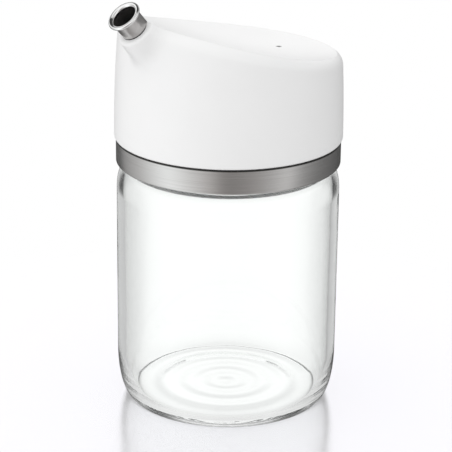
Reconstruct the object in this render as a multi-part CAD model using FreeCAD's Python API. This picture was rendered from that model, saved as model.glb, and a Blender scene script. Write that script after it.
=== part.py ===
"""Table-top oil dispenser: a clear glass jar, a steel collar ring and a white moulded lid.

All sizes are millimetres. The origin is the centre of the jar's foot, +Z is up, and the spout
leans out over -X. The XZ plane is the plane of symmetry. The lid's top is a shallow dish that
climbs towards the spout like a ski slope, and its rim is the crisp edge where that dish cuts
through the rounded shoulder of the lid's side.
"""

import FreeCAD, Part
import math
import os

from FreeCAD import Vector

# ---------------------------------------------------------------- driving dimensions

# glass jar
jar_radius = 40.8            # outside of the straight wall
seam_height = 100.0          # height of the seam between lid and collar ring, above the foot
jar_wall = 3.0               # thickness of the straight wall and of the neck
heel_width = 4.8             # how far the rounded heel draws in to the foot
heel_height = 17.6
foot_width = 5.0             # width of the flat ring that the jar stands on
push_up = 0.9                # how far the underside inside the foot is hollowed
push_up_run = 4.0            # width of the soft step up to it
floor_thickness = 2.6        # glass over the foot ring, measured up from z = 0
floor_corner_width = 4.9     # inside corner between wall and floor, radially
floor_corner_height = 15.4   # inside corner between wall and floor, upwards
ripple_height = 0.3          # press ripples on the floor
ripple_count = 3
shoulder_drop = 23.0         # where the wall begins to draw in, below the seam
shoulder_height = 17.6       # height of the quarter ellipse of the shoulder
shoulder_overrun = 0.8       # how far that ellipse would draw in past the neck
bore_shoulder_drop = 21.0    # where the bore begins to draw in, below the seam
bore_shoulder_height = 8.4
throat_round = 1.0           # rounding between the bore's shoulder and the neck's bore
neck_inset = 4.8             # how far the outside of the neck lies inside the wall's
lip_above_seam = 8.0         # top of the neck above the seam
lip_round = 1.2

# lid, measured up from the seam
lid_proud = 0.8              # how far the lid stands past the jar's wall, at the seam
lid_side_arc = 500.0         # radius of the arc that the side leans in on
lid_wall = 2.4
rim_inset = 3.4              # nominal rim, in from the lid's radius at the seam
rim_height_spout = 47.8      # rim above the seam, on the spout side
rim_height_side = 36.2       # rim above the seam, halfway round
rim_height_back = 30.2       # rim above the seam, opposite the spout
dish_height = 32.1           # lowest middle of the dish above the seam
shoulder_round = 5.0         # rounding between the lid's side and its top
crest_share = 0.14           # the shoulder's crest above the rim, as a share of that rounding
lid_edge_round = 0.8         # rounding of the lid's bottom edge
vent_radius = 0.75           # air hole in the dish
vent_inset = 17.9            # its distance in from the lid's radius, away from the spout

# spout and the boss that carries it
spout_tilt = 41.4            # degrees from vertical
tube_radius = 4.82           # outside of the steel tube
tube_wall = 0.5
tube_proud = 7.5             # rim plane above the boss, along the tube
tube_depth = 15.0            # how deep the tube goes into the lid
tube_clearance = 0.05
lip_flare = 1.31             # how far the rolled pouring lip stands out from the tube
lip_roll = 0.62              # radius of the roll itself
boss_overhang = 1.3          # where the spout's axis leaves the boss, past the lid's radius
boss_drop = 1.5              # the same point below the rim's highest place
boss_wall = 2.18             # plastic round the tube at the boss's end face
boss_draft = 2.0             # degrees
boss_blend = 7.5             # concave blend between the boss and the lid's side
boss_edge_round = 1.2

# screw insert in the lid, collar ring and seal
skirt_drop = 5.0             # lower end of the threaded skirt, below the seam
insert_land = 2.0            # thickness of the land that presses on the seal
land_reach = 2.0             # how far the land reaches in past the neck's bore
thread_clearance = 0.5       # between the neck and the skirt's bore
shell_clearance = 0.12       # between the insert and the lid shell
ring_height = 9.0
ring_proud = 0.2             # how far the ring stands past the jar's wall
ring_wall = 0.9
ring_gap = 0.3               # shadow gap between the ring and the lid
ring_lip_width = 1.9         # how far the ring's lower edge turns in
ring_round = 0.7             # rounding of the ring's lower outside edge
ring_clearance = 0.08
seal_thickness = 1.4
seal_width = 3.4
seal_inset = 0.2             # outer edge of the seal, in from the neck's outside

# ---------------------------------------------------------------- worked out from them

REACH = 80.0                 # half size of cutting tools, past anything they cut

foot_radius = jar_radius - heel_width
foot_inner = foot_radius - foot_width
jar_bore = jar_radius - jar_wall
jar_height = seam_height + lip_above_seam
shoulder_start = seam_height - shoulder_drop
neck_radius = jar_radius - neck_inset
neck_bore = neck_radius - jar_wall

lid_radius = jar_radius + lid_proud
rim_radius = lid_radius - rim_inset
vent_reach = lid_radius - vent_inset
boss_reach = lid_radius + boss_overhang
boss_rise = rim_height_spout - boss_drop
boss_radius = tube_radius + boss_wall
lip_radius = tube_radius + lip_flare

seal_top = jar_height + seal_thickness
insert_top = seal_top + insert_land
insert_bottom = seam_height - skirt_drop
mouth_radius = neck_bore - land_reach
ring_radius = jar_radius + ring_proud
ring_top = seam_height - ring_gap
ring_bottom = ring_top - ring_height

tilt = math.radians(spout_tilt)
spout_axis = Vector(-math.sin(tilt), 0, math.cos(tilt))
boss_point = Vector(-boss_reach, 0, seam_height + boss_rise)

# z above the seam = dish_height + slope * u + bow_u * u**2 + bow_y * y**2, with u towards the spout
slope = (rim_height_spout - rim_height_back) / (2 * rim_radius)
bow_u = ((rim_height_spout + rim_height_back) / 2 - dish_height) / rim_radius ** 2
bow_y = (rim_height_side - dish_height) / rim_radius ** 2


def dish_z(u, y):
    """Height of the dished top at u towards the spout and y across."""
    return seam_height + dish_height + slope * u + bow_u * u * u + bow_y * y * y


def crest_z(u):
    """Height of the shoulder's crest: the rim's own height, drawn straight across the lid."""
    rim = rim_height_side + slope * u + (bow_u - bow_y) * u * u
    return seam_height + rim + crest_share * shoulder_round


def lid_side_radius(z):
    """Outer radius of the lid's side at height z."""
    h = z - seam_height
    return lid_radius - (lid_side_arc - math.sqrt(lid_side_arc ** 2 - h * h))


# ---------------------------------------------------------------- helpers

def rz(r, z):
    """A point of a turned profile."""
    return Vector(r, 0, z)


def line(p, q):
    return Part.LineSegment(rz(*p), rz(*q)).toShape()


def arc(p, mid, q):
    return Part.Arc(rz(*p), rz(*mid), rz(*q)).toShape()


def ellipse_arc(centre, width, height, start, end):
    """Part of an upright ellipse, from angle start to end, in degrees from +r towards +z."""
    first, last = math.radians(start), math.radians(end)
    half = (last - first) / 2
    weight = math.cos(half)
    poles = []
    for angle, reach in ((first, 1), (first + half, 1 / weight), (last, 1)):
        r = centre[0] + width * reach * math.cos(angle)
        z = centre[1] + height * reach * math.sin(angle)
        poles.append(rz(r, z))
    curve = Part.BezierCurve()
    curve.setPoles(poles)
    curve.setWeight(2, weight)
    return curve.toShape()


def turned(edges):
    """The solid that a closed profile sweeps about the Z axis."""
    face = Part.Face(Part.Wire(edges))
    return face.revolve(Vector(0, 0, 0), Vector(0, 0, 1), 360)


def lathe(points):
    """A turned solid with a straight-sided profile."""
    edges = [line(p, q) for p, q in zip(points, points[1:] + points[:1])]
    return turned(edges)


def along_spout(distance):
    """The point on the spout's axis that lies this far out from the boss face."""
    return boss_point + spout_axis * distance


# ---------------------------------------------------------------- jar

def swell(start, end):
    """A smooth step between two points of a profile, level at both ends."""
    middle = (start[0] + end[0]) / 2
    curve = Part.BezierCurve()
    curve.setPoles([rz(*start), rz(middle, start[1]), rz(middle, end[1]), rz(*end)])
    return curve.toShape()


def floor_profile(floor_radius):
    """The inside floor from its flat edge to the axis: faint press ripples round a low middle bump."""
    half_waves = 2 * ripple_count + 1
    heights = (floor_thickness, floor_thickness + ripple_height)
    step = floor_radius / half_waves
    edges = []
    for i in range(half_waves):
        start = (floor_radius - i * step, heights[i % 2])
        end = (floor_radius - (i + 1) * step, heights[(i + 1) % 2])
        edges.append(swell(start, end))
    return edges


def jar_outside():
    """From the foot ring up to the top of the lip: heel, straight wall, shoulder and neck."""
    heel = ellipse_arc((foot_radius, heel_height), heel_width, heel_height, -90, 0)
    draw = neck_inset + shoulder_overrun
    centre = (jar_radius - draw, shoulder_start)
    into_neck = math.acos(shoulder_overrun / draw)
    shoulder_end = shoulder_start + shoulder_height * math.sin(into_neck)
    shoulder = ellipse_arc(centre, draw, shoulder_height, 0, math.degrees(into_neck))
    half = lip_round * (1 - math.sqrt(0.5))
    lip_start = (neck_radius, jar_height - lip_round)
    lip_end = (neck_radius - lip_round, jar_height)
    return [
        line((foot_inner, 0), (foot_radius, 0)),
        heel,
        line((jar_radius, heel_height), (jar_radius, shoulder_start)),
        shoulder,
        line((neck_radius, shoulder_end), lip_start),
        arc(lip_start, (neck_radius - half, jar_height - half), lip_end),
        line(lip_end, (neck_bore + lip_round, jar_height)),
    ]


def jar_inside():
    """From the top of the lip down to the middle of the floor, which follows the outside's forms."""
    half = lip_round * (1 - math.sqrt(0.5))
    lip_end = (neck_bore, jar_height - lip_round)
    bore_start = seam_height - bore_shoulder_drop
    bore_end = bore_start + bore_shoulder_height
    throat = neck_bore + throat_round
    soft = throat_round * math.sqrt(0.5)
    bore_shoulder = ellipse_arc((throat, bore_start), jar_bore - throat, bore_shoulder_height, 90, 0)
    floor_radius = jar_bore - floor_corner_width
    corner_start = floor_thickness + floor_corner_height
    corner = ellipse_arc((floor_radius, corner_start), floor_corner_width, floor_corner_height, 0, -90)
    return [
        arc((neck_bore + lip_round, jar_height), (neck_bore + half, jar_height - half), lip_end),
        line(lip_end, (neck_bore, bore_end + throat_round)),
        arc((neck_bore, bore_end + throat_round), (throat - soft, bore_end + throat_round - soft),
            (throat, bore_end)),
        bore_shoulder,
        line((jar_bore, bore_start), (jar_bore, corner_start)),
        corner,
        *floor_profile(floor_radius),
    ]


def make_jar():
    """Blown glass jar: straight wall, rounded heel and shoulder, screw neck, thin rippled floor."""
    middle = floor_thickness + ripple_height
    underside = [
        line((0, middle), (0, push_up)),
        line((0, push_up), (foot_inner - push_up_run, push_up)),
        swell((foot_inner - push_up_run, push_up), (foot_inner, 0)),
    ]
    return turned(jar_outside() + jar_inside() + underside)


# ---------------------------------------------------------------- lid shell

def barrel(inset, bottom, top):
    """The lid's side as a solid, drawn in by inset, between two heights."""
    middle = (bottom + top) / 2
    lower = (lid_side_radius(bottom) - inset, bottom)
    upper = (lid_side_radius(top) - inset, top)
    side = arc(lower, (lid_side_radius(middle) - inset, middle), upper)
    return turned([line((0, bottom), lower), side, line(upper, (0, top)), line((0, top), (0, bottom))])


def above_crest():
    """Everything above the shoulder's crest: a parabola drawn across the lid."""
    near, far = -REACH, REACH
    steepness = slope + 2 * (bow_u - bow_y) * near
    middle = crest_z(near) + steepness * (far - near) / 2
    curve = Part.BezierCurve()
    curve.setPoles([
        Vector(-near, -REACH, crest_z(near)),
        Vector(0, -REACH, middle),
        Vector(-far, -REACH, crest_z(far)),
    ])
    top = seam_height + 3 * REACH
    corners = [Vector(-far, -REACH, crest_z(far)), Vector(-far, -REACH, top),
               Vector(-near, -REACH, top), Vector(-near, -REACH, crest_z(near))]
    edges = [curve.toShape()]
    edges += [Part.LineSegment(p, q).toShape() for p, q in zip(corners, corners[1:])]
    return Part.Face(Part.Wire(edges)).extrude(Vector(0, 2 * REACH, 0))


def above_dish(lowered):
    """Everything above the dished top, or above the same surface lowered by a wall."""
    size = 2 * REACH
    u0 = y0 = -REACH
    fu = slope + 2 * bow_u * u0
    fy = 2 * bow_y * y0
    rise_u = (0, fu * size / 2, fu * size + bow_u * size ** 2)
    rise_y = (0, fy * size / 2, fy * size + bow_y * size ** 2)
    poles = []
    for i in range(3):
        row = []
        for j in range(3):
            z = dish_z(u0, y0) - lowered + rise_u[i] + rise_y[j]
            row.append(Vector(-(u0 + size * i / 2), y0 + size * j / 2, z))
        poles.append(row)
    surface = Part.BezierSurface()
    surface.increase(2, 2)
    for i in range(3):
        for j in range(3):
            surface.setPole(i + 1, j + 1, poles[i][j])
    return surface.toShape().extrude(Vector(0, 0, 2 * REACH))


def boss():
    """The drafted boss that the spout stands in, left longer than its end face."""
    root = tube_depth + 2 * boss_radius
    spare = boss_radius
    spread = math.tan(math.radians(boss_draft))
    return Part.makeCone(
        boss_radius + root * spread, boss_radius - spare * spread, root + spare,
        along_spout(-root), spout_axis)


def past_boss_face():
    """Everything past the plane of the boss's end face."""
    block = Part.makeBox(2 * REACH, 2 * REACH, REACH, Vector(-REACH, -REACH, 0))
    block.rotate(Vector(0, 0, 0), Vector(0, 1, 0), -spout_tilt)
    block.translate(boss_point)
    return block


def meets(shape, edge, kinds):
    """Whether an edge lies between faces whose surfaces are of these two kinds."""
    found = sorted(face.Surface.TypeId for face in shape.ancestorsOfType(edge, Part.Face))
    return found == sorted("Part::Geom" + kind for kind in kinds)


def boss_end_edges(shape):
    """The outer edges of the boss's end face, without the one that the dish cuts across it."""
    edges = []
    for face in shape.Faces:
        if face.Surface.TypeId != "Part::GeomPlane" or face.normalAt(0, 0).dot(spout_axis) < 0.999:
            continue
        for edge in face.OuterWire.Edges:
            neighbours = shape.ancestorsOfType(edge, Part.Face)
            if not any(near.Surface.TypeId == "Part::GeomBezierSurface" for near in neighbours):
                edges.append(edge)
    return edges


def lid_outside():
    """The lid as if it were solid: side, rounded shoulder, boss with its blend, and dish."""
    body = barrel(0, seam_height, seam_height + REACH).cut(above_crest())
    shoulder_edge = [e for e in body.Edges if meets(body, e, ["SurfaceOfRevolution", "SurfaceOfExtrusion"])]
    body = body.makeFillet(shoulder_round, shoulder_edge)
    bottom_edge = [e for e in body.Edges if meets(body, e, ["SurfaceOfRevolution", "Plane"])]
    body = body.makeFillet(lid_edge_round, bottom_edge)
    body = body.fuse(boss())
    foot_of_boss = []
    for edge in body.Edges:
        if meets(body, edge, ["Cone", "SurfaceOfRevolution"]) or meets(body, edge, ["Cone", "BSplineSurface"]):
            foot_of_boss.append(edge)
    body = body.makeFillet(boss_blend, foot_of_boss)
    body = body.cut(past_boss_face()).cut(above_dish(0))
    return body.makeFillet(boss_edge_round, boss_end_edges(body))


def lid_hollow():
    """The space inside the lid: the side drawn in by the wall, up to the lowered dish."""
    space = barrel(lid_wall, seam_height - 1, seam_height + REACH)
    return space.cut(above_dish(lid_wall))


def make_lid_shell():
    """The moulded lid: leaning side, rounded shoulder, sloping dish, blended spout boss, hollow."""
    bore = Part.makeCylinder(
        tube_radius + tube_clearance, tube_depth + tube_proud, along_spout(-tube_depth), spout_axis)
    vent = Part.makeCylinder(vent_radius, REACH, Vector(vent_reach, 0, seam_height + lid_wall))
    return lid_outside().cut(lid_hollow()).cut(bore).cut(vent)


# ---------------------------------------------------------------- pieces that join lid and jar

def make_lid_insert():
    """The screw insert in the lid: a skirt round the neck and a land that presses on the seal."""
    skirt_bore = neck_radius + thread_clearance
    skirt_radius = ring_radius - ring_wall - ring_clearance
    shell_bore = lid_side_radius(insert_top) - lid_wall - shell_clearance
    return lathe([
        (skirt_bore, insert_bottom),
        (skirt_radius, insert_bottom),
        (skirt_radius, seam_height),
        (shell_bore, seam_height),
        (shell_bore, insert_top),
        (mouth_radius, insert_top),
        (mouth_radius, insert_top - insert_land),
        (skirt_bore, insert_top - insert_land),
    ])


def make_seal():
    """The flat silicone ring between the jar's lip and the insert's land."""
    outer = neck_radius - seal_inset
    return lathe([
        (outer - seal_width, jar_height),
        (outer, jar_height),
        (outer, seal_top),
        (outer - seal_width, seal_top),
    ])


def make_collar_ring():
    """The steel band below the lid, its lower edge turned in towards the glass."""
    bore = ring_radius - ring_wall
    half = ring_round * (1 - math.sqrt(0.5))
    lip_bore = ring_radius - ring_lip_width
    edges = [
        line((lip_bore, ring_bottom), (ring_radius - ring_round, ring_bottom)),
        arc((ring_radius - ring_round, ring_bottom), (ring_radius - half, ring_bottom + half),
            (ring_radius, ring_bottom + ring_round)),
        line((ring_radius, ring_bottom + ring_round), (ring_radius, ring_top)),
        line((ring_radius, ring_top), (bore, ring_top)),
        line((bore, ring_top), (bore, ring_bottom + ring_wall)),
        line((bore, ring_bottom + ring_wall), (lip_bore, ring_bottom + ring_wall)),
        line((lip_bore, ring_bottom + ring_wall), (lip_bore, ring_bottom)),
    ]
    return turned(edges)


def make_spout_tube():
    """The steel spout: a thin tube whose mouth flares into a rolled pouring lip."""
    bore = tube_radius - tube_wall
    roll_centre = (lip_radius - lip_roll, tube_proud - lip_roll)
    flare = lip_radius - lip_roll - tube_radius
    neck_end = roll_centre[1] - lip_roll - flare
    throat_end = tube_proud - (roll_centre[0] - bore)
    a = math.sqrt(0.5)
    edges = [
        line((bore, -tube_depth), (tube_radius, -tube_depth)),
        line((tube_radius, -tube_depth), (tube_radius, neck_end)),
        arc((tube_radius, neck_end), (tube_radius + flare * (1 - a), neck_end + flare * a),
            (tube_radius + flare, neck_end + flare)),
        arc((roll_centre[0], roll_centre[1] - lip_roll), (lip_radius, roll_centre[1]),
            (roll_centre[0], tube_proud)),
        arc((roll_centre[0], tube_proud),
            (bore + (roll_centre[0] - bore) * (1 - a), throat_end + (tube_proud - throat_end) * a),
            (bore, throat_end)),
        line((bore, throat_end), (bore, -tube_depth)),
    ]
    tube = turned(edges)
    tube.rotate(Vector(0, 0, 0), Vector(0, 1, 0), -spout_tilt)
    tube.translate(boss_point)
    return tube


# ---------------------------------------------------------------- one STEP file per piece

parts = {
    "jar": make_jar,
    "collar_ring": make_collar_ring,
    "lid_shell": make_lid_shell,
    "lid_insert": make_lid_insert,
    "seal": make_seal,
    "spout_tube": make_spout_tube,
}

os.makedirs("parts", exist_ok=True)
for name, make in parts.items():
    shape = make()
    shape.exportStep("parts/" + name + ".step")
    print(name, shape.isValid(), len(shape.Solids), round(shape.Volume / 1000, 2), "cm3")
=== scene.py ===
# %% [markdown]
# This lesson makes the visible model of an oil dispenser: a clear glass jar, a brushed steel collar, a
# white moulded lid and a steel pouring spout. The measured CAD model is loaded first and stays fixed,
# because every piece below is made at the place that it gives. Lengths are in metres in Blender, and
# outlines are in millimetres, so MM turns one into the other.

# %% Load the frame
import math

import bpy
from mathutils import Matrix, Vector


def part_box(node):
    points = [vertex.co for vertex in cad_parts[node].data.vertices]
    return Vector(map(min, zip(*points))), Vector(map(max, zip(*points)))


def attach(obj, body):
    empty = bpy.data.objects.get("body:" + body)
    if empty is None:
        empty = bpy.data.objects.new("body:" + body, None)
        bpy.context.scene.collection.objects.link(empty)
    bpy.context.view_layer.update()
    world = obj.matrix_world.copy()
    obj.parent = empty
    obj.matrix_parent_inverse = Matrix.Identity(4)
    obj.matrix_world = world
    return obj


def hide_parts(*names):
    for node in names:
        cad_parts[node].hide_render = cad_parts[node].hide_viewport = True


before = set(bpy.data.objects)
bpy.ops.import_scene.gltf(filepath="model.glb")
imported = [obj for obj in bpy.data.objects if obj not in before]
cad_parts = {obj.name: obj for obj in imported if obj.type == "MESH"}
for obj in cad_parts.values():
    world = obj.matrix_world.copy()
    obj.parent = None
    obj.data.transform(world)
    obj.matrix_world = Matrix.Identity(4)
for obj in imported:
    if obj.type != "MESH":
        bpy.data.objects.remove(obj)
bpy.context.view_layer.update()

MM = 0.001

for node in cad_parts:
    low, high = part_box(node)
    print(node, [round(v / MM, 2) for v in (*low, *high)])

# %% [markdown]
# The camera comes first, because every other choice is judged through it. It stands beside the spout,
# above the lid, and looks down with a long lens, so that the upright edges stay almost parallel. Its
# three directions are worked out as vectors, because a small roll is easier to add to a vector than to
# an angle, and they make the columns of its matrix.

# %% Camera
camera_turn = math.radians(-40.5)     # round the jar, from straight in front
camera_reach = 695.7 * MM             # level distance from the jar's axis
camera_height = 316.8 * MM
camera_pitch = math.radians(19.92)    # downwards
camera_yaw = math.radians(0.046)      # off the axis, to the left
camera_roll = math.radians(0.637)

away = Vector((math.sin(camera_turn), -math.cos(camera_turn), 0))
ahead = Matrix.Rotation(camera_yaw, 3, "Z") @ -away
forward = ahead * math.cos(camera_pitch) - Vector((0, 0, math.sin(camera_pitch)))
level_right = ahead.cross(Vector((0, 0, 1)))
level_up = level_right.cross(forward)
right = level_right * math.cos(camera_roll) + level_up * math.sin(camera_roll)
up = level_up * math.cos(camera_roll) - level_right * math.sin(camera_roll)

lens = bpy.data.cameras.new("camera")
lens.lens = 159.29
lens.sensor_width = 36
lens.clip_start = 0.01
lens.clip_end = 20
camera = bpy.data.objects.new("camera", lens)
bpy.context.scene.collection.objects.link(camera)
camera.matrix_world = Matrix.Translation(away * camera_reach + Vector((0, 0, camera_height))) @ Matrix(
    (right, up, -forward)).transposed().to_4x4()
bpy.context.scene.camera = camera
print("camera stands at", [round(v, 4) for v in camera.matrix_world.translation])

# %% [markdown]
# Every finish is a tree of shader nodes. They could be placed and linked one line at a time, but a few
# helpers keep the trees short to read. These first ones set an input, which is either a plain value or
# a link from another node, add a node, and start a finish with one shader in it.

# %% Nodes and finishes
def set_inputs(tree, node, **inputs):
    """Sets or links inputs by name, with _ for a space, or by place, where i0 is the first."""
    for name, value in inputs.items():
        socket = node.inputs[int(name[1:]) if name[1:].isdigit() else name.replace("_", " ")]
        if isinstance(value, bpy.types.NodeSocket):
            tree.links.new(value, socket)
        elif socket.type == "RGBA":
            socket.default_value = (*value, 1)
        else:
            socket.default_value = value


def add(tree, kind, *, out=0, **inputs):
    """Adds a node and returns one of its outputs."""
    node = tree.nodes.new("ShaderNode" + kind)
    set_inputs(tree, node, **inputs)
    return node.outputs[out]


def new_finish(name):
    """A material with one shader, which is linked to its output."""
    material = bpy.data.materials.new(name)
    material.use_nodes = True
    tree = material.node_tree
    tree.nodes.clear()
    output = tree.nodes.new("ShaderNodeOutputMaterial")
    shader = tree.nodes.new("ShaderNodeBsdfPrincipled")
    tree.links.new(shader.outputs[0], output.inputs["Surface"])
    print("new finish:", name)
    return material, tree, shader, output


# %% [markdown]
# The next helpers are the ones that patterns are made of: sums, a fade from 0 to 1, a mix of two
# colours, a colour ramp, noise and a bump. Places are object coordinates, so a pattern sits on the
# piece and doesn't move with the view.

# %% Sums, fades and noise
VALUE = 1        # the second output of a vector sum that gives one number


def combine(tree, operation, *values, kind="Math", out=0):
    """A sum of numbers, or of vectors where kind is VectorMath."""
    node = tree.nodes.new("ShaderNode" + kind)
    node.operation = operation
    set_inputs(tree, node, **{f"i{place}": value for place, value in enumerate(values)})
    return node.outputs[out]


def place_on_piece(tree):
    return add(tree, "TexCoord", out=3)


def fade(tree, value, start, end, low=0.0, high=1.0):
    """Goes from low to high while value goes from start to end."""
    return add(tree, "MapRange", i0=value, i1=start, i2=end, i3=low, i4=high)


def mix(tree, share, first, second):
    return add(tree, "MixRGB", i0=share, i1=first, i2=second)


def ramp(tree, factor, stops):
    """A colour ramp with (position, grey or colour) stops."""
    node = tree.nodes.new("ShaderNodeValToRGB")
    elements = node.color_ramp.elements
    while len(elements) < len(stops):
        elements.new(1.0)
    for element, (position, tone) in zip(elements, stops):
        element.position = position
        element.color = (*(tone if isinstance(tone, tuple) else (tone,) * 3), 1)
    tree.links.new(factor, node.inputs[0])
    return node.outputs[0]


def noise(tree, scale, detail=3, stretch=(1, 1, 1)):
    """Noise with about scale features in each metre, times stretch in each direction."""
    where = add(tree, "Mapping", Vector=place_on_piece(tree), Scale=stretch)
    return add(tree, "TexNoise", Vector=where, Scale=scale, Detail=detail)


def two_tones(tree, pattern, first, second):
    """Fades between two colours over the middle of a noise, where most of its values lie."""
    return ramp(tree, pattern, [(0.3, first), (0.7, second)])


def bump(tree, height, strength, distance):
    return add(tree, "Bump", Height=height, Strength=strength, Distance=distance)


# %% [markdown]
# The jar is clear soda-lime glass: no roughness, an index of 1.5 and a trace of green. Real glass of
# this kind is never quite flat, so a faint, broad bump bends the light a little, which keeps its edges
# from looking drawn. Light from a lamp goes straight through, by way of a light path node, so that the
# jar never throws a black shadow where someone sets it under one.

# %% Glass
glass_tint, lamp_light_tint = (0.985, 0.995, 0.99), (0.975, 0.98, 0.985)
waves_per_metre, wave_strength, wave_depth = 28, 0.25, 0.4 * MM

glass, tree, shader, output = new_finish("clear_glass")
glass_waves = bump(tree, noise(tree, waves_per_metre), wave_strength, wave_depth)
set_inputs(tree, shader, Base_Color=glass_tint, Roughness=0.0, IOR=1.5, Transmission_Weight=1,
           Normal=glass_waves)
path = tree.nodes.new("ShaderNodeLightPath")
passed = add(tree, "BsdfTransparent", Color=lamp_light_tint)
lit_through = add(tree, "MixShader", i0=path.outputs["Is Shadow Ray"], i1=shader.outputs[0], i2=passed)
tree.links.new(lit_through, output.inputs["Surface"])
print("glass bends light", shader.inputs["IOR"].default_value, "times")

# %% [markdown]
# The collar is stainless steel, brushed round its axis. Noise with many more features upwards than along
# gives the fine level lines, which change both the colour and the roughness. An anisotropic reflection with
# a tangent round the axis draws the light out up and down, as such brushing does. Along the cut upper edge,
# which sits in the shade of the lid, painted shade darkens the colour to near black.

# %% Brushed steel
seam = 100.0                          # height of the lid's lower edge
ring_gap = 0.3                        # from there down to the collar
ring_top = seam - ring_gap
edge_shade = (0.6, 0.35)              # below the top: where the dark edge starts, and is full
lines_along, lines_up = 30, 6000      # in each metre

band_steel, tree, shader, output = new_finish("brushed_steel")
lines = noise(tree, 1, detail=2, stretch=(lines_along, lines_along, lines_up))
brushed = two_tones(tree, lines, (0.56, 0.55, 0.54), (0.66, 0.65, 0.64))
height = tree.nodes.new("ShaderNodeSeparateXYZ")
set_inputs(tree, height, i0=place_on_piece(tree))
# painted shade: the colour darkens to near black towards the collar's top edge, where the lid shades it
painted_lid_shade = fade(tree, height.outputs["Z"], *((ring_top - shade) * MM for shade in edge_shade))
around = tree.nodes.new("ShaderNodeTangent")
around.direction_type = "RADIAL"
around.axis = "Z"
set_inputs(tree, shader, Metallic=1, Anisotropic=0.75, Tangent=around.outputs[0],
           Base_Color=mix(tree, painted_lid_shade, brushed, (0.05, 0.048, 0.046)),
           Roughness=combine(tree, "MULTIPLY_ADD", lines, 0.1, 0.17))

# %% [markdown]
# The lid is white moulded plastic. Such plastic has a skin that is smooth but not polished: a slow change of
# tone, a fine grain in the roughness and a bump of a few hundredths of a millimetre. The insert and the seal
# inside it use the same recipe, with a duller skin and, for the seal, a coarser grain. On the lid, a soft
# grey rim of painted shade goes round the air vent, for the shade in the vent's mouth.

# %% Moulded plastic
mottle_per_metre, grain_depth = 60, 0.05 * MM
painted_vent_shade = (0.8 * MM, 1.35 * MM)      # from the vent's middle: where its shade starts to fade, and ends


def moulded_plastic(name, colour, roughness, grain=1600, vent=None):
    """A smooth plastic with grain features in each metre; vent is how far an air vent is from the axis,
    round which a grey rim of painted shade goes.
    """
    material, tree, shader, output = new_finish(name)
    darker = tuple(0.985 * part for part in colour)
    tone = two_tones(tree, noise(tree, mottle_per_metre, detail=2), darker, colour)
    if vent:
        level = add(tree, "Mapping", Vector=place_on_piece(tree), Location=(-vent * MM, 0, 0),
                    Scale=(1, 1, 0))
        off_vent = combine(tree, "LENGTH", level, kind="VectorMath", out=VALUE)
        # painted shade: the colour turns grey close round the vent, where its mouth is in shade
        tone = mix(tree, fade(tree, off_vent, *painted_vent_shade), (0.42, 0.42, 0.42), tone)
    fine = noise(tree, grain)
    set_inputs(tree, shader, Base_Color=tone, Normal=bump(tree, fine, 0.12, grain_depth),
               Roughness=combine(tree, "MULTIPLY_ADD", fine, 0.08, roughness))
    return material


# %% Three plastics
vent_reach = 23.7                     # the lid's air vent, from the axis
white = moulded_plastic("white_plastic", (0.855, 0.855, 0.855), 0.36, vent=vent_reach)
natural = moulded_plastic("insert_plastic", (0.84, 0.845, 0.85), 0.45)
rubber = moulded_plastic("seal_silicone", (0.78, 0.79, 0.80), 0.55, grain=700)

# %% [markdown]
# The jar, the collar and the spout are all round, as things that are blown, rolled or turned are. Each
# starts as an outline: pairs of radius and height. One point is extruded along the outline, and the
# line is spun about the axis. Doubled points are merged, and the faces are smoothed except at creases.

# %% Outlines
def arc(centre, width, height, start, end, steps):
    """Points along part of an ellipse, from angle start to end, in degrees from outwards towards up."""
    angles = [math.radians(start + (end - start) * step / steps) for step in range(steps + 1)]
    return [(centre[0] + width * math.cos(angle), centre[1] + height * math.sin(angle)) for angle in angles]


quarter = arc((0, 0), 1, 1, 0, 90, 3)
print("a quarter circle in three steps:", [(round(r, 2), round(h, 2)) for r, h in quarter])

# %% Turned pieces
merge_distance = 0.002 * MM
turned_crease = math.radians(40)


def turned(name, outline, steps):
    """Spins a closed outline about the axis, in so many steps."""
    bpy.ops.object.select_all(action="DESELECT")
    bpy.ops.mesh.primitive_plane_add(size=MM, location=(0, 0, 0))
    piece = bpy.context.object
    piece.name = piece.data.name = name
    bpy.ops.object.mode_set(mode="EDIT")
    bpy.ops.mesh.merge(type="CENTER")
    bpy.ops.transform.translate(value=Vector((outline[0][0], 0, outline[0][1])) * MM)
    for (r0, z0), (r1, z1) in zip(outline, outline[1:] + outline[:1]):
        step = Vector((r1 - r0, 0, z1 - z0)) * MM
        bpy.ops.mesh.extrude_region_move(TRANSFORM_OT_translate={"value": step})
    bpy.ops.mesh.select_all(action="SELECT")
    bpy.ops.mesh.spin(steps=steps, angle=2 * math.pi, center=(0, 0, 0), axis=(0, 0, 1))
    bpy.ops.mesh.select_all(action="SELECT")
    bpy.ops.mesh.remove_doubles(threshold=merge_distance)
    bpy.ops.mesh.normals_make_consistent(inside=False)
    bpy.ops.object.mode_set(mode="OBJECT")
    bpy.ops.object.shade_smooth_by_angle(angle=turned_crease)
    return piece


# %% Finishing a piece
def finish_piece(piece, material, node):
    """Gives a piece its finish and its place in the model, in the place of a CAD node."""
    piece.data.materials.clear()
    piece.data.materials.append(material)
    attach(piece, "root")
    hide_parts(node)
    print(piece.name, "has", len(piece.data.polygons), "faces and stands for", node)


# %% [markdown]
# The jar is drawn as one closed outline, in three runs. The outside goes from the foot ring round the
# wide heel, up the wall and over the shoulder to the neck. What is seen of clear glass is mostly how
# its two surfaces lean against each other, so the wall's thickness and both shoulders have values of
# their own.

# %% Jar, outside
jar_radius, jar_wall, jar_height = 40.8, 3.0, 108.0
foot_radius, foot_width, heel_height = 36.0, 5.0, 17.6
shoulder_start, shoulder_height, shoulder_draw = 80.5, 11.0, 5.6
neck_radius, lip_round = 36.0, 1.2
broad_steps, shoulder_steps, round_steps = 28, 24, 6

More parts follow.
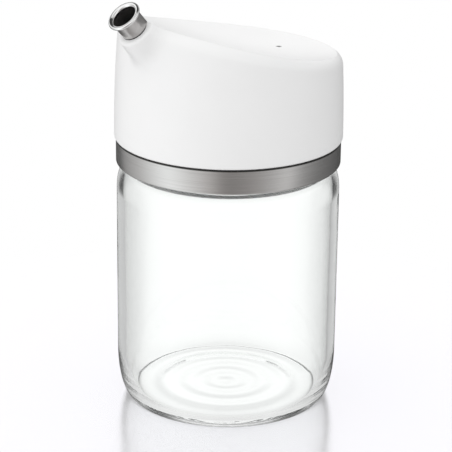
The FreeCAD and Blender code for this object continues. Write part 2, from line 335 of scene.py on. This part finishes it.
into_neck = math.degrees(math.acos((neck_radius - jar_radius + shoulder_draw) / shoulder_draw))
jar_outside = [(foot_radius - foot_width, 0)]
jar_outside += arc((foot_radius, heel_height), jar_radius - foot_radius, heel_height, -90, 0, broad_steps)
jar_outside += arc((jar_radius - shoulder_draw, shoulder_start), shoulder_draw, shoulder_height,
                   0, into_neck, shoulder_steps)
jar_outside += arc((neck_radius - lip_round, jar_height - lip_round), lip_round, lip_round,
                   0, 90, round_steps)
print("outside of the jar:", len(jar_outside), "points")

# %% [markdown]
# The inside comes back down a straight throat, round the shoulder and down the wall to a wide corner,
# and then runs to the middle of the floor. The floor has low ripples, which a plunger or a cooling
# gob leaves in thick glass, and which catch the light as soft rings.

# %% Jar, inside
bore_shoulder_start, bore_shoulder_height, throat_round = 79.0, 8.4, 1.0
floor_thickness, floor_corner_width, floor_corner_height = 2.6, 4.9, 15.4
ripple_height, ripple_count, ripple_steps = 0.3, 3.5, 56      # the half ripple ends in a bump

jar_bore, neck_bore = jar_radius - jar_wall, neck_radius - jar_wall
throat, throat_top = neck_bore + throat_round, bore_shoulder_start + bore_shoulder_height + throat_round
floor_edge = jar_bore - floor_corner_width
jar_inside = arc((neck_bore + lip_round, jar_height - lip_round), lip_round, lip_round, 90, 180, round_steps)
jar_inside += arc((throat, throat_top), throat_round, throat_round, 180, 270, round_steps)
jar_inside += arc((throat, bore_shoulder_start), jar_bore - throat, bore_shoulder_height,
                  90, 0, broad_steps)[1:]
jar_inside += arc((floor_edge, floor_thickness + floor_corner_height), floor_corner_width,
                  floor_corner_height, 0, -90, broad_steps)
for step in range(1, ripple_steps + 1):
    inwards = step / ripple_steps
    wave = (1 - math.cos(2 * math.pi * ripple_count * inwards)) / 2
    jar_inside.append((floor_edge * (1 - inwards), floor_thickness + ripple_height * wave))
print("inside of the jar:", len(jar_inside), "points")

# %% [markdown]
# The underside rises a little in the middle, so that the jar stands on a ring and doesn't rock. The
# rise is a soft wave, because a step there would show through the floor as a hard dark line. With it
# the outline is closed, and the jar is spun in many steps, since clear glass shows every flat.

# %% Jar
push_up, push_up_run, push_up_steps = 0.3, 9.0, 16
jar_steps = 288

jar_under = [(0, push_up)]
for step in range(push_up_steps):
    outwards = step / push_up_steps
    rise = push_up * (1 + math.cos(math.pi * outwards)) / 2
    jar_under.append((foot_radius - foot_width - push_up_run * (1 - outwards), rise))
jar = turned("glass_jar", jar_outside + jar_inside + jar_under, jar_steps)
finish_piece(jar, glass, "jar")

# %% [markdown]
# The collar is a thin band, closed at the bottom by a short lip that turns in under it. Its lower edge
# is rounded as bent sheet is, and its upper edge has only a small break.

# %% Collar
ring_height, ring_radius, ring_wall = 9.0, 41.0, 0.9
ring_lip_width, ring_round, ring_break = 1.9, 0.7, 0.15
ring_steps, round_edge_steps, break_steps = 256, 8, 4

ring_bottom = ring_top - ring_height
ring_lip_end = ring_radius - ring_lip_width
band = [(ring_lip_end, ring_bottom)]
band += arc((ring_radius - ring_round, ring_bottom + ring_round), ring_round, ring_round,
            -90, 0, round_edge_steps)
band += arc((ring_radius - ring_break, ring_top - ring_break), ring_break, ring_break, 0, 90, break_steps)
band += [(ring_radius - ring_wall, ring_top), (ring_radius - ring_wall, ring_bottom + ring_wall),
         (ring_lip_end, ring_bottom + ring_wall)]
collar = turned("steel_collar", band, ring_steps)
finish_piece(collar, band_steel, "collar_ring")

# %% [markdown]
# The lid is one moulding: a round wall whose top slopes down away from the spout, a dished top with a
# small vent, and a boss that swells out of the wall to hold the spout. The CAD model already has this
# form exactly, so its mesh is copied. The copy is loose triangles until the points that they share are
# merged. Its stored shading is then cleared, so that the smoothing runs over the broad faces and stops
# at the sharp edges of the bore and the vent.

# %% Lid
lid_crease = math.radians(30)

bpy.ops.object.select_all(action="DESELECT")
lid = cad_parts["lid_shell"].copy()
lid.data = lid.data.copy()
lid.name = lid.data.name = "lid"
lid.parent = None
bpy.context.scene.collection.objects.link(lid)
bpy.context.view_layer.objects.active = lid
lid.select_set(True)
bpy.ops.object.mode_set(mode="EDIT")
bpy.ops.mesh.select_all(action="SELECT")
bpy.ops.mesh.remove_doubles(threshold=merge_distance)
bpy.ops.object.mode_set(mode="OBJECT")
bpy.ops.mesh.customdata_custom_splitnormals_clear()
bpy.ops.object.shade_smooth_by_angle(angle=lid_crease)
finish_piece(lid, white, "lid_shell")

# %% [markdown]
# The spout is a steel tube that leans out of the boss, with a flared mouth and a rolled lip that cuts
# off the last drop. Its values come first, because both its finish and its outline need them.

# %% Spout values
spout_tilt = math.radians(41.4)
boss_reach, boss_rise = 42.9, 46.3    # the middle of the boss's face, from the axis and the seam
tube_radius, tube_wall, tube_proud, tube_depth = 4.82, 0.5, 7.5, 15.0
lip_radius, lip_roll = 6.13, 0.62
boss_point = Vector((-boss_reach, 0, seam + boss_rise))
spout_axis = Vector((-math.sin(spout_tilt), 0, math.cos(spout_tilt)))
spout_back = Vector((math.cos(spout_tilt), 0, math.sin(spout_tilt)))
print("the spout leans", round(math.degrees(spout_tilt), 1), "degrees, from", tuple(boss_point))

# %% [markdown]
# The tube has a satin face, and the lip is polished. Both belong to one material: the distance along the
# tube, which a dot product with its axis gives, tells where the polish starts. The same distance draws a
# thin dark line of painted shade where the tube meets the boss, except behind, where the dish cuts the boss
# away.

# %% Spout finish
def distance_from_boss(tree, direction):
    """How far a place lies from the boss's face, along a direction."""
    along = combine(tree, "DOT_PRODUCT", place_on_piece(tree), direction, kind="VectorMath", out=VALUE)
    return combine(tree, "SUBTRACT", along, (boss_point @ direction) * MM)


polish_length = 2.2 * lip_roll         # back from the mouth, of the polished part
polish_edge = 0.2 * MM
painted_seam_shade = (0.3 * MM, 0.55 * MM)     # along the tube: where the dark line starts to fade, and ends
boss_back = (1.0 * MM, 3.0 * MM)      # behind the axis: the same, round the tube
specks_per_metre = 900
satin_dark, satin_light, polished_tone = (0.52, 0.505, 0.50), (0.6, 0.585, 0.575), (0.86, 0.86, 0.855)
satin_roughness, speck_roughness, less_when_polished = 0.26, 0.1, 0.24

spout_steel, tree, shader, output = new_finish("satin_steel")
along_tube = distance_from_boss(tree, spout_axis)
lip_start = (tube_proud - polish_length) * MM
polished = fade(tree, along_tube, lip_start - polish_edge, lip_start)
# painted shade: a thin near-black line in the colour where the tube goes into the boss
off_seam_shade = combine(tree, "MAXIMUM", fade(tree, along_tube, *painted_seam_shade),
                   fade(tree, distance_from_boss(tree, spout_back), *boss_back))
speck = noise(tree, specks_per_metre)
steel = mix(tree, polished, two_tones(tree, speck, satin_dark, satin_light), polished_tone)
rough = combine(tree, "MULTIPLY_ADD", speck, speck_roughness, satin_roughness)
polish = combine(tree, "MULTIPLY", polished, less_when_polished)
set_inputs(tree, shader, Metallic=1, Base_Color=mix(tree, off_seam_shade, (0.02, 0.02, 0.02), steel),
           Roughness=combine(tree, "SUBTRACT", rough, polish))

# %% [markdown]
# The outline is drawn upright and spun about the axis like the others. The tube is a touch wider than
# its bore, so that the seam with the plastic is one clean line. The piece is then leaned over and moved
# to the boss, and the move is applied, so that the object itself stays at the origin.

# %% Spout
seam_press = 0.09                     # how much wider the tube is drawn
spout_steps, flare_steps, roll_steps, mouth_steps = 96, 8, 14, 10

tube_bore = tube_radius - tube_wall
tube_face = tube_radius + seam_press
roll_radius, roll_height = lip_radius - lip_roll, tube_proud - lip_roll
flare = roll_radius - tube_face
mouth = roll_radius - tube_bore
spout_outline = [(tube_bore, -tube_depth), (tube_face, -tube_depth)]
spout_outline += arc((tube_face + flare, roll_height - lip_roll - flare), flare, flare, 180, 90, flare_steps)
spout_outline += arc((roll_radius, roll_height), lip_roll, lip_roll, -90, 90, roll_steps)[1:]
spout_outline += arc((roll_radius, tube_proud - mouth), mouth, mouth, 90, 180, mouth_steps)[1:]
spout = turned("spout", spout_outline, spout_steps)
spout.rotation_euler = (0, -spout_tilt, 0)
spout.location = boss_point * MM
bpy.ops.object.transform_apply(location=True, rotation=True, scale=True)
finish_piece(spout, spout_steel, "spout_tube")

# %% [markdown]
# The insert that plugs the jar's neck and the soft seal on it are all but hidden by the lid. They keep
# their CAD shapes and only get finishes.

# %% Insert and seal
for node, material in (("lid_insert", natural), ("seal", rubber)):
    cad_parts[node].data.materials.clear()
    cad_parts[node].data.materials.append(material)
    print(node, "is", material.name)

# %% [markdown]
# The floor is a pale, slightly glossy sheet. It shows the object's soft shadow and a blurred, faintly
# blue reflection of the jar, and fades away with distance, so no horizon is seen. A part of its light
# is its own, which keeps it white. It is hidden from the glass, which looks at the surroundings
# instead.

# %% Floor finish
own_light = 0.62                      # the share of the floor that the camera sees as plain white
floor_fade = (100 * MM, 160 * MM)     # from the axis: where the floor starts to fade, and is gone
sheen_tint, sheen_roughness = (0.955, 0.945, 1), 0.18

floor_finish, tree, shader, output = new_finish("studio_floor")
tree.nodes.remove(shader)
lit = add(tree, "BsdfDiffuse", Color=(0.97, 0.97, 0.975))
plain = add(tree, "Emission", Color=(1, 1, 1), Strength=1.0)
path = tree.nodes.new("ShaderNodeLightPath")
seen = combine(tree, "MULTIPLY", path.outputs["Is Camera Ray"], own_light)
matt = add(tree, "MixShader", i0=seen, i1=lit, i2=plain)
gloss = add(tree, "BsdfGlossy", Color=sheen_tint, Roughness=sheen_roughness)
sheet = add(tree, "MixShader", i0=add(tree, "LayerWeight", out=1, Blend=0.5), i1=matt, i2=gloss)
from_axis = combine(tree, "LENGTH", place_on_piece(tree), kind="VectorMath", out=VALUE)
clear = add(tree, "BsdfTransparent")
faded = add(tree, "MixShader", i0=fade(tree, from_axis, *floor_fade), i1=sheet, i2=clear)
tree.links.new(faded, output.inputs["Surface"])

# %% Floor
floor_radius = 300 * MM
floor_drop = 0.15 * MM                # keeps the floor clear of the foot ring

bpy.ops.object.select_all(action="DESELECT")
bpy.ops.mesh.primitive_circle_add(vertices=96, radius=floor_radius, fill_type="NGON",
                                  location=(0, 0, -floor_drop))
floor = bpy.context.object
floor.name = "floor"
floor.data.materials.append(floor_finish)
floor.visible_glossy = False
floor.visible_transmission = False
print("the floor fades out", floor_fade[1], "m from the axis")

# %% [markdown]
# Glass and steel show little but their surroundings, so these are set up with care, like the white and
# black cards round a table in a studio. A direction is turned into degrees round the object, with 0
# towards the camera, 180 behind, and positive to its right. A profile then gives the brightness all
# the way round, and z, the height of the direction, chooses between profiles.

# %% Directions
def profile(tree, turn, *stops):
    """A ramp all the way round; a stop is degrees from the camera, and a brightness or a colour."""
    return ramp(tree, turn, [(0.5 + degrees / 360, tone) for degrees, tone in stops])


world = bpy.data.worlds.new("studio")
world.use_nodes = True
studio = world.node_tree
studio.nodes.clear()
facing_camera = add(studio, "Mapping", Vector=add(studio, "TexCoord"), Rotation=(0, 0, -camera_turn))
direction = studio.nodes.new("ShaderNodeSeparateXYZ")
set_inputs(studio, direction, i0=facing_camera)
x, y, z = direction.outputs
angle = combine(studio, "ARCTAN2", x, combine(studio, "MULTIPLY", y, -1))
turn = combine(studio, "MULTIPLY_ADD", angle, 1 / (2 * math.pi), 0.5)
print("surroundings turned", round(math.degrees(camera_turn), 1), "degrees, to face the camera")

# %% [markdown]
# Steel reflects what is level with it and below: one bright window to the left and one to the right,
# and dark in front, which gives the collar its bands. Higher up, the surroundings are white, for the
# floor's sheen, and higher still they are dark at the back, which draws the dark ends of the spout's
# polished lip.

# %% What metal reflects
above_level, high_up = (0.1, 0.22), (0.52, 0.64)      # heights over which one profile gives way to the next

level_with_steel = profile(
    studio, turn,
    (-180, 0.04), (-165, 0.08), (-150, 0.09), (-137, 0.11), (-134, 0.35), (-100, 0.66),
    (-62, (1.32, 1.36, 1.37)), (-35, 0.86), (-15, (0.58, 0.56, 0.55)), (-6, (0.27, 0.255, 0.25)),
    (3, (0.27, 0.26, 0.255)), (28, (0.42, 0.405, 0.4)), (50, 0.66), (62, 0.92), (78, 0.42), (100, 0.25),
    (130, 0.15), (165, 0.06), (180, 0.04))
over_the_floor = profile(
    studio, turn, (-180, 1.08), (104, 1.08), (116, 0.8), (138, 0.8), (150, 1.08), (180, 1.08))
overhead = profile(
    studio, turn,
    (-180, 0.06), (-125, 0.05), (-112, 0.5), (-70, 1.1), (-40, 1.0), (-15, 0.7), (20, 0.6), (55, 0.75),
    (85, 0.4), (110, 0.08), (180, 0.06))
sky = mix(studio, fade(studio, z, *high_up), over_the_floor, overhead)
reflected = mix(studio, fade(studio, z, *above_level), level_with_steel, sky)
print("steel sees three profiles")

# %% [markdown]
# The plastic and the floor gather light from all round, so theirs is plain and soft: a little brighter
# on the left, and brighter from above than from below, which shapes the lid.

# %% Soft light
round_about = profile(
    studio, turn, (-180, 1.1), (-120, 1.15), (-62, 1.22), (0, 1.0), (60, 0.82), (120, 0.8), (180, 1.1))
from_above = fade(studio, z, -0.3, 0.7, low=0.84, high=1.17)
from_above = add(studio, "CombineXYZ", X=from_above, Y=from_above, Z=from_above)
soft = combine(studio, "MULTIPLY", round_about, from_above, kind="VectorMath")
print("soft light is brightest at the upper left")

# %% [markdown]
# A ray through the jar's wall goes on nearly straight, and near the sides of the jar it is bent away.
# So the glass sees white behind it and grey to both sides of that, and this is what shades the wall
# towards its edges. Rays that the shoulder and the foot turn upwards see two narrow dark strips, which
# draw the dark wedges under the collar.

# %% What glass sees
rising, falling = (-0.27, -0.1), (-0.42, -0.56)       # heights where straight on gives way, up and down

straight_on = profile(
    studio, turn,
    (-180, 1.07), (-174, 1.02), (-168, 0.92), (-160, 0.79), (-152, 0.7), (-145, 0.67), (-139, 0.54),
    (-130, 0.46), (-118, 0.4), (-104, 0.85), (-92, 0.97), (0, 1.0), (92, 0.97), (104, 0.85), (118, 0.36),
    (134, 0.36), (140, 0.45), (145, 0.62), (152, 0.68), (160, 0.85), (165, 0.98), (175, 1.06), (180, 1.07))
above = profile(
    studio, turn,
    (-180, 1.0), (-162, 0.97), (-153, 0.2), (-148, 0.04), (-139, 0.06), (-128, 0.7), (-90, 0.85), (0, 0.8),
    (90, 0.85), (128, 0.7), (139, 0.06), (148, 0.04), (153, 0.2), (162, 0.97), (180, 1.0))
below = profile(
    studio, turn, (-180, 0.86), (-150, 0.78), (-100, 0.84), (100, 0.84), (150, 0.78), (180, 0.86))
through = mix(studio, fade(studio, z, *rising), straight_on, above)
through = mix(studio, fade(studio, z, *falling), through, below)
print("glass sees three profiles")

# %% [markdown]
# The kind of ray chooses what it sees: a glossy one the reflections, one through glass the profiles
# above, the camera plain white, and any other the soft light. Nothing here is a lamp, so rays find the
# surroundings by themselves, and the usual aiming at bright spots is turned off: it can't tell the
# kinds of ray apart.

# %% Surroundings
path = studio.nodes.new("ShaderNodeLightPath")
colour = mix(studio, path.outputs["Is Glossy Ray"], soft, reflected)
colour = mix(studio, path.outputs["Is Transmission Ray"], colour, through)
colour = mix(studio, path.outputs["Is Camera Ray"], colour, (1, 1, 1))
background = add(studio, "Background", Color=colour, Strength=1.0)
output = studio.nodes.new("ShaderNodeOutputWorld")
studio.links.new(background, output.inputs["Surface"])
world.cycles.sampling_method = "NONE"
bpy.context.scene.world = world
bpy.context.scene.view_settings.view_transform = "Standard"
print("surroundings have", len(studio.nodes), "nodes")

# %% [markdown]
# Light that enters clear glass turns many times inside it before it leaves, so the number of bounces is
# raised.

# %% Bounces
most_bounces = 40
paths = bpy.context.scene.cycles
paths.max_bounces = paths.transmission_bounces = paths.glossy_bounces = most_bounces
